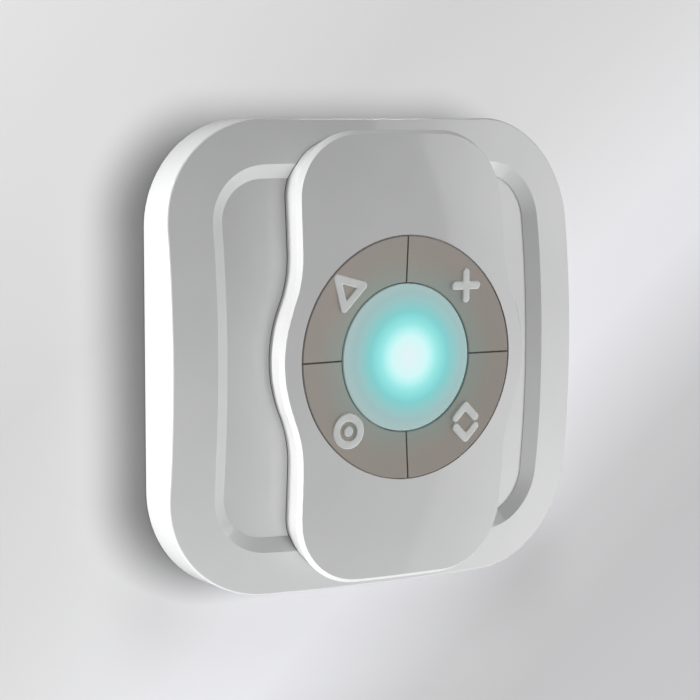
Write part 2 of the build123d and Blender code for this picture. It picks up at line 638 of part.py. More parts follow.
def battery_cap():
    """Round bayonet cap with a coin slot, two lugs and a skirt round the cell."""
    cap = disc(CAP_RADIUS, CAP_OUTER, CAP_INNER)
    cap = chamfer(cap.edges().filter_by(GeomType.CIRCLE).sort_by(Axis.Z)[0], 2 * EDGE_BREAK)
    skirt = disc(CAP_RADIUS, CAP_INNER, LUG_TOP) - disc(CELL_RADIUS + CELL_GAP, CAP_INNER, LUG_TOP)
    cap += skirt
    cap += cap_lugs(LUG_LEVEL, LUG_TOP, LUG_RADIUS, LUG_ANGLE)
    slot = Pos(0, 0, CAP_OUTER) * extrude(SlotOverall(SLOT_LENGTH, SLOT_WIDTH), SLOT_DEPTH)
    mark = disc(SYMBOL_BAR, CAP_OUTER, CAP_OUTER + LEAF, y=CELL_RADIUS - SYMBOL_STROKE)
    return cap - slot - mark


pieces = {
    "wall_plate": wall_plate(),
    "keeper_discs": keeper_discs(),
    "remote_front_shell": remote_front_shell(),
    "remote_rear_shell": remote_rear_shell(),
    "shell_screws": shell_screws(),
    "remote_magnets": remote_magnets(),
    "light_diffuser": light_diffuser(),
    "reflector_cup": reflector_cup(),
    "status_led": status_led(),
    "button_frame": button_frame(),
    "switch_bodies": switch_bodies(),
    "circuit_board": circuit_board(),
    "radio_module": radio_module(),
    "radio_shield": radio_shield(),
    "control_chip": control_chip(),
    "small_components": small_components(),
    "coin_cell": coin_cell(),
    "cell_contact_negative": cell_contact_negative(),
    "cell_contact_positive": cell_contact_positive(),
    "battery_cap": battery_cap(),
}
for quadrant in QUADRANTS:
    pieces["button_" + quadrant] = button(quadrant)
    pieces["symbol_" + quadrant] = symbol(quadrant)
    pieces["plunger_" + quadrant] = plunger(quadrant)

os.makedirs("parts", exist_ok=True)
for node, piece in pieces.items():
    export_step(Rot(90, 0, 0) * piece, "parts/" + node + ".step")
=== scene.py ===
from math import atan2, cos, pi, radians, sin

import bmesh
import bpy
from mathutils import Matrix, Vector


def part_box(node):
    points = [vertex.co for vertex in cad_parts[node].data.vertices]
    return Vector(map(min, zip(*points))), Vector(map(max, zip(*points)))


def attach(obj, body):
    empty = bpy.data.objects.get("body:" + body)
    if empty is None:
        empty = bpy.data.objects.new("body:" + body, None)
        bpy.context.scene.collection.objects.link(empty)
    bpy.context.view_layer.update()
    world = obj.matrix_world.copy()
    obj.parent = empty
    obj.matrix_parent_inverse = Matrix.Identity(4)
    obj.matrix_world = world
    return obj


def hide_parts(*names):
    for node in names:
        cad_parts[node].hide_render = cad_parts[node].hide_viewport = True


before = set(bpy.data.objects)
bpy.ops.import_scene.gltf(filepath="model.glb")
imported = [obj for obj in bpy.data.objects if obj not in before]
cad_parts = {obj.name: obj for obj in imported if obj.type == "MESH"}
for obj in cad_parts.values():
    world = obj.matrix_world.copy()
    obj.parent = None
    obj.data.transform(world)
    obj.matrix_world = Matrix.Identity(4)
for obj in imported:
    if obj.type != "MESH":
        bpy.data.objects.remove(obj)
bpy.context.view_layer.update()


# Wall plate. One moulding in white ABS: the crowned front is polished, and the ribbed back
# keeps the fine spark texture of the tool. Two countersunk screws hold it to the wall.
class Signal:
    """A socket in a material. Arithmetic on it adds Math nodes."""

    def __init__(self, tree, socket=None):
        self.tree = tree
        self.socket = socket

    def node(self, kind, settings, inputs, output=0):
        """Adds a node: its settings first, then the values or links of its sockets."""
        made = self.tree.nodes.new(kind)
        for name, value in settings.items():
            if name == "stops":
                elements = made.color_ramp.elements
                for place, colour in value[2:]:
                    elements.new(place)
                for element, (place, colour) in zip(elements, sorted(value)):
                    element.position = place
                    element.color = colour
            else:
                setattr(made, name, value)
        for name, value in inputs.items():
            if isinstance(value, Signal):
                self.tree.links.new(value.socket, made.inputs[name])
            else:
                made.inputs[name].default_value = value
        return Signal(self.tree, made.outputs[output])

    def math(self, operation, other=0.0):
        return self.node("ShaderNodeMath", {"operation": operation}, {0: self, 1: other})

    def reflected(self, operation, first):
        return self.node("ShaderNodeMath", {"operation": operation}, {0: first, 1: self})

    def __add__(self, other):
        return self.math("ADD", other)

    def __sub__(self, other):
        return self.math("SUBTRACT", other)

    def __mul__(self, other):
        return self.math("MULTIPLY", other)

    def __truediv__(self, other):
        return self.math("DIVIDE", other)

    def __abs__(self):
        return self.math("ABSOLUTE")

    def __rsub__(self, other):
        return self.reflected("SUBTRACT", other)

    def __rtruediv__(self, other):
        return self.reflected("DIVIDE", other)

    __radd__ = __add__
    __rmul__ = __mul__

    def feed(self, socket):
        self.tree.links.new(self.socket, socket)


def start_material(name, fixed):
    """New material with these fixed values on its shader.
    Gives the material, the shader's sockets and the place on the piece as a signal."""
    made = bpy.data.materials.new(name)
    made.use_nodes = True
    sockets = made.node_tree.nodes["Principled BSDF"].inputs
    for socket, value in fixed.items():
        sockets[socket].default_value = value
    place = Signal(made.node_tree).node("ShaderNodeTexCoord", {}, {}, "Object")
    return made, sockets, place


def noise(place, scale, detail=2.0):
    return place.node("ShaderNodeTexNoise", {}, {"Vector": place, "Scale": scale, "Detail": detail})


def rise(value, low, high):
    """Smooth step from 0 at low to 1 at high."""
    limits = {"Value": value, "From Min": low, "From Max": high}
    return value.node("ShaderNodeMapRange", {"interpolation_type": "SMOOTHSTEP"}, limits)


def mix(factor, first, second):
    return factor.node("ShaderNodeMix", {"data_type": "RGBA"}, {0: factor, 6: first, 7: second}, 2)


def bump(height, distance):
    return height.node("ShaderNodeBump", {}, {"Height": height, "Distance": distance})


def axes(vector):
    """The three parts of a vector signal."""
    return [vector.node("ShaderNodeSeparateXYZ", {}, {"Vector": vector}, part) for part in range(3)]


def facing_wall(place):
    """From -1 on faces that look into the room to 1 on faces that look at the wall."""
    return axes(place.node("ShaderNodeTexCoord", {}, {}, "Normal"))[1]


def toned(colour, factor):
    """The same colour, this many times as light."""
    return tuple(factor * part for part in colour[:3]) + (1,)


def moulded_plastic(name, colour, roughness, peel, texture, bevel_highlight=1.0):
    """Moulded plastic with flow marks in its colour and gloss, orange peel and a fine tool texture.
    With bevel_highlight above 1, the bevels get a painted highlight: their colour is that many times
    lighter."""
    made, sockets, place = start_material(name, {"IOR": 1.5, "Specular IOR Level": 0.5})
    flow = noise(place, 55, 3)
    speck = noise(place, 1500, 2)
    toward_wall = facing_wall(place)
    tone = mix(rise(flow, 0.3, 0.75), colour, toned(colour, 0.955))
    if bevel_highlight > 1:
        forward = -1 * toward_wall
        # Painted highlight on the faces between the front and the sides.
        painted_bevel_highlight = rise(forward, 0.35, 0.50) * (1 - rise(forward, 0.85, 0.95))
        tone = mix(painted_bevel_highlight, tone, toned(colour, bevel_highlight))
    tone.feed(sockets["Base Color"])
    rough_side = rise(toward_wall, 0.3, 0.7)
    (flow * 0.04 + speck * 0.02 + rough_side * 0.28 + (roughness - 0.03)).feed(sockets["Roughness"])
    height = noise(place, 320, 1) * peel + speck * (rough_side * 0.9 + texture)
    bump(height, 0.00002).feed(sockets["Normal"])
    return made


def dress(material, *nodes):
    """Gives CAD nodes a material."""
    for node in nodes:
        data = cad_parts[node].data
        data.materials.clear()
        data.materials.append(material)


POLISHED_WHITE = (0.50, 0.502, 0.505, 1)
# Its bevels get a painted highlight, 1.08 times lighter.
polished_plate = moulded_plastic(
    "polished_white_abs", POLISHED_WHITE, roughness=0.05, peel=0.04, texture=0.01, bevel_highlight=1.08)
dress(polished_plate, "wall_plate")


# Keeper discs. Two punched discs of zinc-plated mild steel, pressed into pockets in the back
# of the plate, opposite the remote's magnets.
def length(across, up):
    return (across * across + up * up).math("SQRT")


def from_centres(place, offset_x, offset_z):
    """Distance in the wall's plane from the nearest of the points at plus and minus these offsets."""
    x, _, z = axes(place)
    return length(abs(x) - offset_x, abs(z) - offset_z)


def turned_metal(name, colour, roughness, centres, mark_pitch):
    """Plated metal with fine turning marks round its centres and a faint uneven bloom."""
    made, sockets, place = start_material(name, {"Metallic": 1.0})
    radius = from_centres(place, *centres)
    marks = (radius * (2 * pi / mark_pitch)).math("SINE") * noise(place, 700, 3)
    bloom = noise(place, 180, 3)
    mix(rise(bloom, 0.35, 0.8), colour, toned(colour, 0.8)).feed(sockets["Base Color"])
    (bloom * 0.16 + marks * 0.05 + roughness).feed(sockets["Roughness"])
    bump(marks + bloom * 0.4, 0.000012).feed(sockets["Normal"])
    return made


keeper_low, keeper_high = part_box("keeper_discs")
KEEPER_SPREAD = keeper_high.z - (keeper_high.x - keeper_low.x) / 2
ZINC = (0.56, 0.57, 0.58, 1)
dress(turned_metal("zinc_plated_steel", ZINC, 0.30, (0, KEEPER_SPREAD), 0.0004), "keeper_discs")


# Rear shell of the remote. White ABS with a satin texture, because it is hidden in the plate's
# dock: it holds the magnets, the battery bay and the four screw posts.
REAR_WHITE = (0.46, 0.462, 0.465, 1)
satin_white = moulded_plastic("satin_white_abs", REAR_WHITE, roughness=0.42, peel=0.15, texture=0.5)
dress(satin_white, "remote_rear_shell")


# Magnets. Two discs of sintered magnet, nickel-plated so that they don't rust, and pushed into
# open pockets in the rear shell.
NICKEL = (0.62, 0.59, 0.53, 1)
dress(turned_metal("nickel_plate", NICKEL, 0.16, (0, KEEPER_SPREAD), 0.0007), "remote_magnets")


# Battery contacts. Blanked from thin tinned spring bronze; the negative one is a bowed leaf
# under the board, the positive one an angle that stands beside the cell.
def rolled_metal(name, colour, roughness, grain):
    """Sheet metal with fine rolling marks along X."""
    made, sockets, place = start_material(name, {"Metallic": 1.0})
    x, y, z = axes(place)
    stretched = place.node("ShaderNodeCombineXYZ", {}, {"X": x * 0.04, "Y": y, "Z": z})
    streaks = noise(stretched, grain, 3)
    bloom = noise(place, 220, 2)
    dull = toned(colour, 0.78)
    mix(rise(streaks * 0.6 + bloom * 0.4, 0.35, 0.7), colour, dull).feed(sockets["Base Color"])
    (streaks * 0.22 + roughness).feed(sockets["Roughness"])
    bump(streaks, 0.000012).feed(sockets["Normal"])
    return made


BRONZE = (0.66, 0.56, 0.40, 1)
spring_bronze = rolled_metal("spring_bronze", BRONZE, 0.18, 2600)
dress(spring_bronze, "cell_contact_negative", "cell_contact_positive")


# Circuit board. Glass-fibre laminate with green solder mask over its copper tracks, and
# gold-plated rings round the four screw holes, which the shell screws clamp.
TRACK_PITCH = 0.0011
PATCHES_PER_METRE = 210.0
PAD_RADIUS = 0.0023
MASK_GREEN = (0.006, 0.080, 0.036, 1)
TRACK_GREEN = (0.014, 0.135, 0.055, 1)
GOLD = (0.82, 0.60, 0.26, 1)
LAMINATE = (0.34, 0.31, 0.17, 1)


def circuit_laminate(name, screw_x, screw_z):
    """Patches of upright or level tracks under the mask, with bare laminate on the board's edges."""
    made, sockets, place = start_material(name, {"IOR": 1.52, "Coat Roughness": 0.12})
    x, _, z = axes(place)
    patches = {"Vector": place, "Scale": PATCHES_PER_METRE}
    patch = place.node("ShaderNodeTexVoronoi", {"distance": "CHEBYCHEV"}, patches, "Color")
    choice = patch.node("ShaderNodeSeparateColor", {}, {"Color": patch}, 0)

    def tracks(along):
        return rise(abs((along / TRACK_PITCH).math("FRACT") - 0.5), 0.30, 0.34)

    upright = choice.math("GREATER_THAN", 0.62)
    level = choice.math("LESS_THAN", 0.38)
    track = tracks(x) * upright + tracks(z) * level
    pad = 1 - rise(from_centres(place, screw_x, screw_z), PAD_RADIUS, PAD_RADIUS + 0.0001)
    edge = 1 - rise(abs(facing_wall(place)), 0.4, 0.6)
    green = mix(track, MASK_GREEN, TRACK_GREEN)
    weave = noise(place, 2400, 2)
    mix(edge, mix(pad, green, GOLD), LAMINATE).feed(sockets["Base Color"])
    (pad * (1 - edge)).feed(sockets["Metallic"])
    (weave * 0.10 + edge * 0.4 + 0.24).feed(sockets["Roughness"])
    bump(track * 0.8 + weave * 0.15, 0.00003).feed(sockets["Normal"])
    return made


SCREW_HEAD_RADIUS = 0.0019
screw_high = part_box("shell_screws")[1]
SCREW_X = screw_high.x - SCREW_HEAD_RADIUS
SCREW_Z = screw_high.z - SCREW_HEAD_RADIUS
dress(circuit_laminate("green_laminate", SCREW_X, SCREW_Z), "circuit_board")


# Status light. A white ceramic package on the board with a clear round lens over its dice,
# which glow cyan.
LENS_RADIUS = 0.0013
CERAMIC = (0.66, 0.66, 0.62, 1)
LENS = (0.62, 0.86, 0.84, 1)
CYAN = (0.30, 0.85, 0.86, 1)
BLACK = (0, 0, 0, 1)


def lamp_package(name):
    made, sockets, place = start_material(name, {"IOR": 1.45, "Emission Strength": 1.0})
    lens = 1 - rise(from_centres(place, 0, 0), LENS_RADIUS, LENS_RADIUS + 0.0001)
    mix(lens, CERAMIC, LENS).feed(sockets["Base Color"])
    mix(lens, BLACK, CYAN).feed(sockets["Emission Color"])
    (noise(place, 1800) * 0.2 + lens * -0.28 + 0.36).feed(sockets["Roughness"])
    return made


dress(lamp_package("ceramic_and_lens"), "status_led")


# Radio module and its shield. A small laminate soldered down by its edge notches, under a
# drawn can of tinned steel.
MASK_BLUE = (0.010, 0.030, 0.075, 1)
MASK_BLUE_LIGHT = (0.014, 0.040, 0.095, 1)


def plain_laminate(name):
    made, sockets, place = start_material(name, {"IOR": 1.52})
    weave = noise(place, 2400, 2)
    mix(rise(weave, 0.3, 0.7), MASK_BLUE, MASK_BLUE_LIGHT).feed(sockets["Base Color"])
    (weave * 0.16 + 0.28).feed(sockets["Roughness"])
    bump(weave, 0.00002).feed(sockets["Normal"])
    return made


dress(plain_laminate("blue_laminate"), "radio_module")
TINNED = (0.60, 0.60, 0.58, 1)
dress(rolled_metal("tinned_steel", TINNED, 0.22, 3000), "radio_shield")


# Controller and its small parts. A black epoxy package, a crystal and two rows of ceramic
# capacitors and resistors with tinned ends, all on their solder.
def speckled(name, colour, lighter, roughness, grain, depth):
    """Filled epoxy or sintered ceramic: fine two-tone grain with a matching relief."""
    made, sockets, place = start_material(name, {"IOR": 1.5})
    grains = noise(place, grain, 3)
    mix(rise(grains, 0.35, 0.68), colour, lighter).feed(sockets["Base Color"])
    (grains * 0.2 + roughness).feed(sockets["Roughness"])
    bump(grains, depth).feed(sockets["Normal"])
    return made


EPOXY = (0.012, 0.012, 0.013, 1)
EPOXY_LIGHT = (0.022, 0.022, 0.024, 1)
TAN = (0.30, 0.20, 0.11, 1)
TAN_LIGHT = (0.40, 0.28, 0.17, 1)
dress(speckled("black_epoxy", EPOXY, EPOXY_LIGHT, 0.42, 4200, 0.00002), "control_chip")
dress(speckled("tan_ceramic", TAN, TAN_LIGHT, 0.38, 3800, 0.00002), "small_components")


# Switches and their plungers. Four glass-filled nylon bodies on the board, each with a round
# acetal plunger that its button presses.
NYLON = (0.018, 0.018, 0.019, 1)
NYLON_LIGHT = (0.040, 0.040, 0.042, 1)
ACETAL = (0.55, 0.55, 0.53, 1)
ACETAL_LIGHT = (0.62, 0.62, 0.60, 1)
KEYS = ("top_left", "top_right", "bottom_left", "bottom_right")
dress(speckled("black_nylon", NYLON, NYLON_LIGHT, 0.45, 3200, 0.00003), "switch_bodies")
white_acetal = speckled("white_acetal", ACETAL, ACETAL_LIGHT, 0.35, 2600, 0.00001)
dress(white_acetal, *["plunger_" + key for key in KEYS])


# Reflector cup. Moulded in bright white ABS: it throws the light of the board's lamp evenly
# on to the diffuser, and stands between board and window.
BRIGHT_WHITE = (0.80, 0.80, 0.79, 1)
reflector_white = moulded_plastic("reflector_white", BRIGHT_WHITE, roughness=0.30, peel=0.2, texture=0.3)
dress(reflector_white, "reflector_cup")


# Button frame. A grey ABS ring that stands on the board on four feet. It guides the buttons
# over the switches and is hidden once the front shell is on.
FRAME_GREY = (0.115, 0.115, 0.118, 1)
frame_grey = moulded_plastic("frame_grey_abs", FRAME_GREY, roughness=0.45, peel=0.2, texture=0.6)
dress(frame_grey, "button_frame")


# Four buttons. Quadrants of one ring, moulded in translucent taupe and painted with a soft-touch lacquer.
# Their inner edge by the window has a painted greenish tint and a faint painted cyan glow, for the
# window's light spilling on to them.
WINDOW_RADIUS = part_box("light_diffuser")[1].x
SPILL_LIGHT_START = 0.0005
SPILL_LIGHT_END = 0.0065
TAUPE = (0.247, 0.226, 0.203, 1)
TAUPE_WARM = (0.262, 0.230, 0.203, 1)
SPILL_LIGHT_TINT = (0.225, 0.248, 0.222, 1)
SPILL_LIGHT_GLOW = (0.000, 0.014, 0.012, 1)


def soft_lacquer(name):
    made, sockets, place = start_material(name, {"IOR": 1.46, "Emission Strength": 1.0})
    radius = from_centres(place, 0, 0)
    cloud = noise(place, 110, 3)
    # Painted light spill from the window: a greenish tint and a faint cyan glow near it.
    near = 1 - rise(radius + cloud * 0.002, WINDOW_RADIUS + SPILL_LIGHT_START, WINDOW_RADIUS + SPILL_LIGHT_END)
    body = mix(rise(cloud, 0.35, 0.7), TAUPE, TAUPE_WARM)
    mix(near, body, SPILL_LIGHT_TINT).feed(sockets["Base Color"])
    mix(near, BLACK, SPILL_LIGHT_GLOW).feed(sockets["Emission Color"])
    grain = noise(place, 2200, 2)
    (grain * 0.14 + 0.44).feed(sockets["Roughness"])
    bump(grain, 0.000018).feed(sockets["Normal"])
    return made


dress(soft_lacquer("taupe_lacquer"), *["button_" + key for key in KEYS])


# Symbols. Milky inserts moulded through the buttons, one plain sign each. Their strokes stand
# proud of the lacquer and have softly rounded edges, so they can be felt.
SYMBOL_SIZE = 0.0058
STROKE = 0.00115
PROUD = 0.00035
BROADER = 0.00017
SOFT_EDGE = 0.00028
DOT_RADIUS = 0.00078
END_STEPS = 14
EDGE_STEPS = 6
VOXEL = 0.000075
REACH = (SYMBOL_SIZE - STROKE) / 2
TRIANGLE_REACH = REACH * 1.3
CROSS_REACH = REACH * 0.95
CHEVRON_TIP = REACH * 1.2
CHEVRON_ARM = REACH * 0.85
MILKY = (0.48, 0.50, 0.485, 1)
MILKY_LIGHT = (0.52, 0.54, 0.525, 1)


def stroke_outline(start, end, radius, level):
    """Outline round a stroke at one level: a half circle about each end."""
    heading = atan2(end[1] - start[1], end[0] - start[0])
    points = []
    for centre, turn in ((end, heading - pi / 2), (start, heading + pi / 2)):
        for step in range(END_STEPS + 1):
            angle = turn + pi * step / END_STEPS
            points.append((centre[0] + radius * cos(angle), level, centre[1] + radius * sin(angle)))
    return points


def add_stroke(mesh, start, end, half_width, face, foot):
    """One closed stroke: a foot through the button, and above the face a broader top with soft edges."""
    broad = half_width + BROADER
    top = face - PROUD
    levels = [(half_width, foot), (half_width, face), (broad, face - BROADER / 2)]
    for step in range(EDGE_STEPS + 1):
        angle = pi / 2 * step / EDGE_STEPS
        levels.append((broad - SOFT_EDGE * (1 - cos(angle)), top + SOFT_EDGE * (1 - sin(angle))))
    rings = [[mesh.verts.new(point) for point in stroke_outline(start, end, *level)] for level in levels]
    for lower, upper in zip(rings, rings[1:]):
        for index in range(len(lower)):
            following = (index + 1) % len(lower)
            mesh.faces.new((lower[index], lower[following], upper[following], upper[index]))
    mesh.faces.new(rings[0][::-1])
    mesh.faces.new(rings[-1])


def along_circle(radius, angle):
    return radius * cos(radians(angle)), radius * sin(radians(angle))


def pairs(points):
    return list(zip(points, points[1:]))


def middle(node):
    low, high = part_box(node)
    return (low + high) / 2


def place_mesh(name, mesh):
    """Finishes a mesh that was being built and links it to the scene as an object."""
    data = bpy.data.meshes.new(name)
    mesh.to_mesh(data)
    mesh.free()
    placed = bpy.data.objects.new(name, data)
    bpy.context.scene.collection.objects.link(placed)
    return placed


def melt_together(placed):
    """Joins an object's overlapping strokes into one skin and rounds its corners a little."""
    remesh = placed.modifiers.new("joined", "REMESH")
    remesh.mode = "VOXEL"
    remesh.voxel_size = VOXEL
    soften = placed.modifiers.new("softened", "SMOOTH")
    soften.factor = 0.5
    soften.iterations = 4
    bpy.context.view_layer.update()
    evaluated = placed.evaluated_get(bpy.context.evaluated_depsgraph_get())
    whole = bpy.data.meshes.new_from_object(evaluated)
    placed.modifiers.clear()
    placed.data = whole
    whole.polygons.foreach_set("use_smooth", [True] * len(whole.polygons))


def milky_plastic(name):
    made, sockets, place = start_material(name, {"IOR": 1.49})
    cloud = noise(place, 500, 3)
    mix(rise(cloud, 0.3, 0.7), MILKY, MILKY_LIGHT).feed(sockets["Base Color"])
    (cloud * 0.10 + 0.28).feed(sockets["Roughness"])
    bump(noise(place, 1800), 0.000012).feed(sockets["Normal"])
    return made


cross = [along_circle(CROSS_REACH, angle) for angle in (0, 180, 90, 270)]
chevron = [
    (-CHEVRON_ARM, CHEVRON_TIP - CHEVRON_ARM), (0, CHEVRON_TIP), (CHEVRON_ARM, CHEVRON_TIP - CHEVRON_ARM)]
signs = {
    "top_left": pairs([along_circle(TRIANGLE_REACH, angle) for angle in (135, 255, 15, 135)]),
    "top_right": [(cross[0], cross[1]), (cross[2], cross[3])],
    "bottom_left": pairs([along_circle(REACH, angle) for angle in range(0, 375, 15)]),
    "bottom_right": pairs(chevron) + pairs([(-x, -y) for x, y in chevron]),
}
milky = milky_plastic("milky_insert")
for key in KEYS:
    node = "symbol_" + key
    centre = middle("plunger_" + key)
    front, back = [corner.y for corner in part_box(node)]
    mesh = bmesh.new()
    for start, end in signs[key]:
        start = (start[0] + centre.x, start[1] + centre.z)
        end = (end[0] + centre.x, end[1] + centre.z)
        add_stroke(mesh, start, end, STROKE / 2, front + PROUD, back)
    if key == "bottom_left":
        dot = (centre.x, centre.z)
        add_stroke(mesh, dot, dot, DOT_RADIUS, front + PROUD, back)
    bmesh.ops.recalc_face_normals(mesh, faces=mesh.faces)
    sign = place_mesh("sign_" + key, mesh)
    melt_together(sign)
    sign.data.materials.clear()
    sign.data.materials.append(milky)
    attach(sign, key + "_key")
    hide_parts(node)


# Window. A round of frosted, light-spreading acrylic, let in level with the buttons. The glow of the lamp
# behind it
# is painted in as emission: a near-white core that fades through cyan to the pale rim, with the base
# colour painted in matching rings.
GLOW_SHIFT = 0.0006
LIT_ACRYLIC_STOPS = (
    (0.0, (0.34, 0.40, 0.41, 1)), (0.42, (0.12, 0.32, 0.32, 1)), (0.62, (0.11, 0.30, 0.30, 1)),
    (0.80, (0.28, 0.435, 0.435, 1)), (1.0, (0.40, 0.54, 0.54, 1)),
)
GLOW_STOPS = (
    (0.0, (0.43, 0.50, 0.555, 1)), (0.16, (0.45, 0.55, 0.55, 1)), (0.28, (0.42, 0.60, 0.59, 1)),
    (0.37, (0.29, 0.56, 0.555, 1)), (0.46, (0.165, 0.47, 0.455, 1)), (0.58, (0.10, 0.36, 0.355, 1)),
    (0.72, (0.06, 0.20, 0.20, 1)), (0.86, (0.02, 0.06, 0.06, 1)), (1.0, BLACK),
)


def ramp(factor, stops):
    return factor.node("ShaderNodeValToRGB", {"stops": stops}, {"Fac": factor})


def glowing_acrylic(name):
    made, sockets, place = start_material(name, {"IOR": 1.49, "Emission Strength": 1.0})
    aside = {0: place, 1: (GLOW_SHIFT, 0, 0)}
    shifted = place.node("ShaderNodeVectorMath", {"operation": "SUBTRACT"}, aside)
    part = from_centres(shifted, 0, 0) / WINDOW_RADIUS
    # Painted glow and painted lit colour, in rings round a point a little aside from the centre.
    ramp(part, LIT_ACRYLIC_STOPS).feed(sockets["Base Color"])
    ramp(part, GLOW_STOPS).feed(sockets["Emission Color"])
    frost = noise(place, 1400, 2)
    (frost * 0.12 + 0.26).feed(sockets["Roughness"])
    bump(frost, 0.000010).feed(sockets["Normal"])
    return made


dress(glowing_acrylic("frosted_acrylic"), "light_diffuser")


# Front shell of the remote. Polished white ABS, crowned and waisted; it drops over the board
# and buttons, and its lower edge follows the plate.
# Its bevels get a painted highlight, 1.17 times lighter.
polished_front = moulded_plastic(
    "polished_front_abs", POLISHED_WHITE, roughness=0.08, peel=0.04, texture=0.01, bevel_highlight=1.17)
dress(polished_front, "remote_front_shell")


# Seam shade. A thin black skin under the front shell's edge all the way round stands where the seam to
# the plate
# lies in shade: it is painted shade, a fine dark line there.
SEAM_SHADE_HEIGHT = 0.00022
SEAM = 0.0004
UNDERSIDE = 0.3
SEAM_SHADE_BLACK = (0.030, 0.030, 0.032, 1)
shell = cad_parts["remote_front_shell"]
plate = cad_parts["wall_plate"]
seam_shade_mesh = bmesh.new()
seam_shade_mesh.from_mesh(shell.data)
spare = []
for face in seam_shade_mesh.faces:
    centre = face.calc_center_median()
    reached = plate.closest_point_on_mesh(centre)[1]
    if face.normal.y < UNDERSIDE or (reached - centre).length > SEAM:
        spare.append(face)
bmesh.ops.delete(seam_shade_mesh, geom=spare, context="FACES")
added = bmesh.ops.extrude_face_region(seam_shade_mesh, geom=seam_shade_mesh.faces[:])["geom"]
moved = [part for part in added if isinstance(part, bmesh.types.BMVert)]
bmesh.ops.translate(seam_shade_mesh, verts=moved, vec=(0, SEAM_SHADE_HEIGHT, 0))
bmesh.ops.recalc_face_normals(seam_shade_mesh, faces=seam_shade_mesh.faces)
seam_shade_skin = place_mesh("painted_seam_shade", seam_shade_mesh)
seam_shade_skin.data.materials.append(moulded_plastic("seam_shade_black", SEAM_SHADE_BLACK, roughness=0.55, peel=0.2, texture=0.5))
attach(seam_shade_skin, "remote")


# Shell screws. Four small cheese head screws of zinc-plated steel with a cross slot, driven
# from the back through rear shell and board into the front shell's bosses.
dress(turned_metal("screw_zinc", ZINC, 0.26, (SCREW_X, SCREW_Z), 0.0003), "shell_screws")


# Coin cell and battery cap. The stainless cell lies in the round bay, and the grey cap holds
# it with two bayonet lugs and is turned with a coin.
STAINLESS = (0.63, 0.62, 0.60, 1)
CAP_GREY = (0.30, 0.30, 0.305, 1)
dress(turned_metal("stainless_cell", STAINLESS, 0.20, (0, 0), 0.0005), "coin_cell")
dress(moulded_plastic("cap_grey_abs", CAP_GREY, roughness=0.40, peel=0.15, texture=0.6), "battery_cap")


# Wall behind the part. A painted wall that lies against the plate's back, with a painted soft shadow of
# the plate on top of its real one.
# It is open behind the plate and clear from behind, so that the back can be looked at.
WALL_GAP = 0.0002
WALL_REACH = 1.6
OPENING_INSET = 0.0006
PLATE_CORNER = 0.018
CORNER_STEPS = 10
BAND_X = 0.63
BAND_Z = 0.78
BAND_REACH = 0.0935
BANDS = (
    (0.0, 0.94, 1.0), (0.32, 0.74, 1.0), (0.47, 0.78, 1.0), (0.61, 0.86, 1.03),
    (0.68, 0.84, 1.04), (0.81, 0.60, 1.015), (0.90, 0.55, 1.015), (1.0, 0.56, 1.03),
)
SHADOW_LEFT = 0.00625
SHADOW_BLUR = 0.00625
SHADOW_DARK = 0.74
UNDER_TOP = (0.028, 0.040)
UNDER_FOOT = (0.040, 0.062)
UNDER_SIDES = (0.036, 0.052)
UNDER_DARK = 0.15
plate_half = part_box("wall_plate")[1].x
opening_half = plate_half - OPENING_INSET
opening_corner = PLATE_CORNER - OPENING_INSET


def wall_paint(name):
    """Matt paint with broad painted diagonal bands of light, given as place, level and blueness.
    It carries a painted soft shadow of the part, and a fainter painted shadow below it."""
    made, sockets, place = start_material(name, {"Roughness": 1.0, "Specular IOR Level": 0.0})
    x, _, z = axes(place)
    diagonal = x * BAND_X - z * BAND_Z
    limits = {"Value": diagonal, "From Min": -BAND_REACH, "From Max": BAND_REACH}
    stops = [(part, (level, level, blue * level, 1)) for part, level, blue in BANDS]
    shade = ramp(diagonal.node("ShaderNodeMapRange", {}, limits), stops)
    # Painted shadow: the plate's outline shifted to the left and blurred, and a fainter band of painted
    # shadow under the plate.
    straight = plate_half - PLATE_CORNER
    out_x = (abs(x + SHADOW_LEFT) - straight).math("MAXIMUM")
    out_z = (abs(z) - straight).math("MAXIMUM")
    dark = 1 - rise(length(out_x, out_z), PLATE_CORNER - SHADOW_BLUR, PLATE_CORNER + SHADOW_BLUR)
    depth = -1 * z
    between = rise(depth, *UNDER_TOP) * (1 - rise(depth, *UNDER_FOOT))
    under = between * (1 - rise(abs(x), *UNDER_SIDES))
    shadow = (dark * SHADOW_DARK).math("MAXIMUM", under * UNDER_DARK)
    mix(shadow, shade, BLACK).feed(sockets["Base Color"])
    bump(noise(place, 900), 0.00001).feed(sockets["Normal"])
    tree = made.node_tree
    behind = place.node("ShaderNodeNewGeometry", {}, {}, "Backfacing")
    clear = place.node("ShaderNodeBsdfTransparent", {}, {})
    painted = Signal(tree, tree.nodes["Principled BSDF"].outputs[0])
    shown = behind.node("ShaderNodeMixShader", {}, {0: behind, 1: painted, 2: clear})
    shown.feed(tree.nodes["Material Output"].inputs["Surface"])
    return made


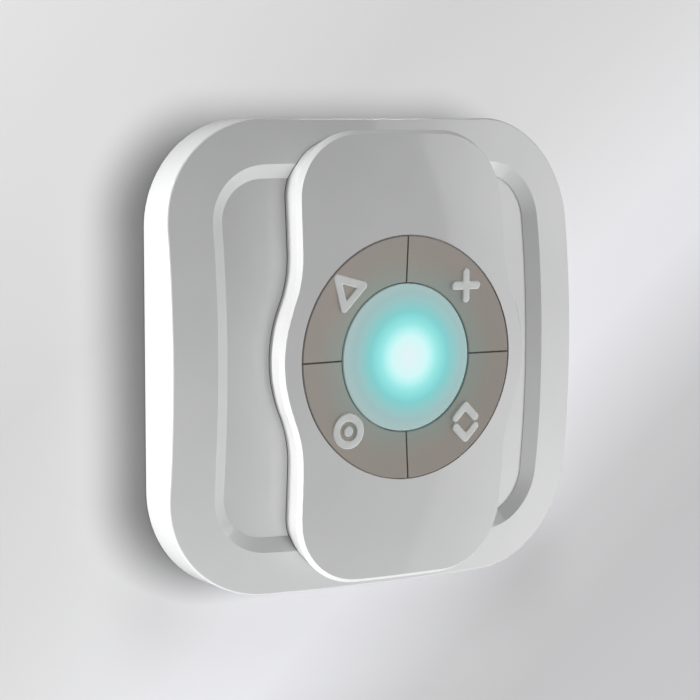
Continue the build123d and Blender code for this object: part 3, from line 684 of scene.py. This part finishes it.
wall_mesh = bmesh.new()
inner_ring = []
outer_ring = []
for quarter in range(4):
    turn = pi / 2 * quarter
    offset = opening_half - opening_corner
    corner_x = offset * (cos(turn) - sin(turn))
    corner_z = offset * (sin(turn) + cos(turn))
    for step in range(CORNER_STEPS + 1):
        angle = turn + pi / 2 * step / CORNER_STEPS
        x = corner_x + opening_corner * cos(angle)
        z = corner_z + opening_corner * sin(angle)
        inner_ring.append(wall_mesh.verts.new((x, WALL_GAP, z)))
        outwards = Vector((x, 0, z)).normalized() * WALL_REACH
        outer_ring.append(wall_mesh.verts.new((outwards.x, WALL_GAP, outwards.z)))
for index in range(len(inner_ring)):
    following = (index + 1) % len(inner_ring)
    near = inner_ring[index], inner_ring[following]
    far = outer_ring[index], outer_ring[following]
    wall_mesh.faces.new((near[0], far[0], far[1], near[1]))
wall = place_mesh("wall", wall_mesh)
wall.data.materials.append(wall_paint("wall_paint"))


# Room. A tall strip at the left and a high rear lamp stand behind the wall, which doesn't stop
# them: they whiten the sides and leave the front alone. A soft key stands low on the right,
# and a small lamp above it and a curved sheet of light at the right show only in the gloss.
def towards(azimuth, elevation, distance):
    """Point in the room at this azimuth from straight in front, positive to the right."""
    az = radians(azimuth)
    el = radians(elevation)
    return Vector((sin(az) * cos(el), -cos(az) * cos(el), sin(el))) * distance


def turned_to_part(place):
    return place.to_track_quat("Z", "Y").to_euler()


def soft_lamp(name, place, width, height, power):
    lamp = bpy.data.lights.new(name, "AREA")
    lamp.shape = "RECTANGLE"
    lamp.size = width
    lamp.size_y = height
    lamp.energy = power
    placed = bpy.data.objects.new(name, lamp)
    placed.location = place
    placed.rotation_euler = turned_to_part(place)
    placed.visible_camera = False
    bpy.context.scene.collection.objects.link(placed)
    return placed


strip_lamp = soft_lamp("left_strip", towards(-97.5, -7, 0.7), width=0.06, height=1.4, power=12.8)
rear_lamp = soft_lamp("rear", towards(215, 30, 1.2), width=0.9, height=0.9, power=3.8)
not_blocking = bpy.data.collections.new("not_blocking")
not_blocking.objects.link(wall)
not_blocking.collection_objects[0].light_linking.link_state = "EXCLUDE"
for lamp in (strip_lamp, rear_lamp):
    lamp.light_linking.blocker_collection = not_blocking
rear_lamp.visible_glossy = False
key_lamp = soft_lamp("soft_key", towards(33, -45, 1.1), width=0.6, height=0.6, power=11.6)
key_lamp.visible_glossy = False
key_lamp.data.use_shadow = False
edge_lamp = soft_lamp("edge_light", towards(72, 57, 1.0), width=0.6, height=0.35, power=6.5)
edge_lamp.visible_diffuse = False


# Sheet of light. A glowing white cloth at the right, with a hollow left edge. It shows in the
# gloss alone, and is brighter at its top and at its right.
SHEET_DISTANCE = 1.0
SHEET_LOW = -52
SHEET_HIGH = 36
SHEET_LEFT = 39
SHEET_RIGHT = 82
HOLLOW_ELEVATION = -6
HOLLOW_DEPTH = 3.6
HOLLOW_HALF_HEIGHT = 23.5
SHEET_ROWS = 16
SHEET_COLUMNS = 6
SHEET_GLOW = 2.42
GLOW_RISE_UP = (-0.07, 0.28)
GLOW_RISE_RIGHT = (0.57, 0.72)
TOP_EXTRA = 0.42
LEFT_SHARE = 0.52


def sheet_glow(name):
    fixed = {"Base Color": BLACK, "Specular IOR Level": 0.0, "Emission Strength": SHEET_GLOW}
    made, sockets, place = start_material(name, fixed)
    across, _, up = axes(place)
    upwards = rise(up, *GLOW_RISE_UP) * TOP_EXTRA + 1
    rightwards = rise(across, *GLOW_RISE_RIGHT) * (1 - LEFT_SHARE) + LEFT_SHARE
    (upwards * rightwards).feed(sockets["Emission Color"])
    return made


sheet_mesh = bmesh.new()
rows = []
for row in range(SHEET_ROWS + 1):
    elevation = SHEET_LOW + (SHEET_HIGH - SHEET_LOW) * row / SHEET_ROWS
    left = SHEET_LEFT - HOLLOW_DEPTH * ((elevation - HOLLOW_ELEVATION) / HOLLOW_HALF_HEIGHT) ** 2
    stride = (SHEET_RIGHT - left) / SHEET_COLUMNS
    azimuths = [left + stride * column for column in range(SHEET_COLUMNS + 1)]
    places = [towards(azimuth, elevation, SHEET_DISTANCE) for azimuth in azimuths]
    rows.append([sheet_mesh.verts.new(place) for place in places])
for lower, upper in zip(rows, rows[1:]):
    for column in range(SHEET_COLUMNS):
        sheet_mesh.faces.new((lower[column], lower[column + 1], upper[column + 1], upper[column]))
light_sheet = place_mesh("light_sheet", sheet_mesh)
light_sheet.data.materials.append(sheet_glow("sheet_glow"))
light_sheet.visible_camera = False
light_sheet.visible_diffuse = False


# Studio air. An even light from all round, kept low on the part and in the gloss. To the camera
# and through clear pieces it looks pale.
AMBIENT = 0.39
REFLECTED = 0.44
PALE = 0.82
world = bpy.data.worlds.new("pale_room")
bpy.context.scene.world = world
world.use_nodes = True
RAYS = ("Is Camera Ray", "Is Transmission Ray", "Is Glossy Ray")
room = Signal(world.node_tree)
seen, through, glossy = [room.node("ShaderNodeLightPath", {}, {}, ray) for ray in RAYS]
background = world.node_tree.nodes["Background"]
background.inputs["Color"].default_value = (1, 1, 1, 1)
backdrop = seen.math("MAXIMUM", through) * (PALE - AMBIENT)
(backdrop + glossy * (REFLECTED - AMBIENT) + AMBIENT).feed(background.inputs["Strength"])


# Camera. It stands where the photograph's stood, to the left of the part and a little above it,
# with a long lens.
CAMERA_AZIMUTH = -31.221
CAMERA_ELEVATION = 5.882
CAMERA_DISTANCE = 0.400315
LOOK_AT = Vector((-0.000232, 0, -0.000363))
lens = bpy.data.cameras.new("camera")
lens.lens = 117.69
lens.sensor_width = 36
lens.clip_start = 0.01
camera = bpy.data.objects.new("camera", lens)
back = towards(CAMERA_AZIMUTH, CAMERA_ELEVATION, 1)
camera.location = LOOK_AT + back * CAMERA_DISTANCE
camera.rotation_euler = turned_to_part(back)
bpy.context.scene.collection.objects.link(camera)
bpy.context.scene.camera = camera
bpy.context.scene.view_settings.view_transform = "Standard"
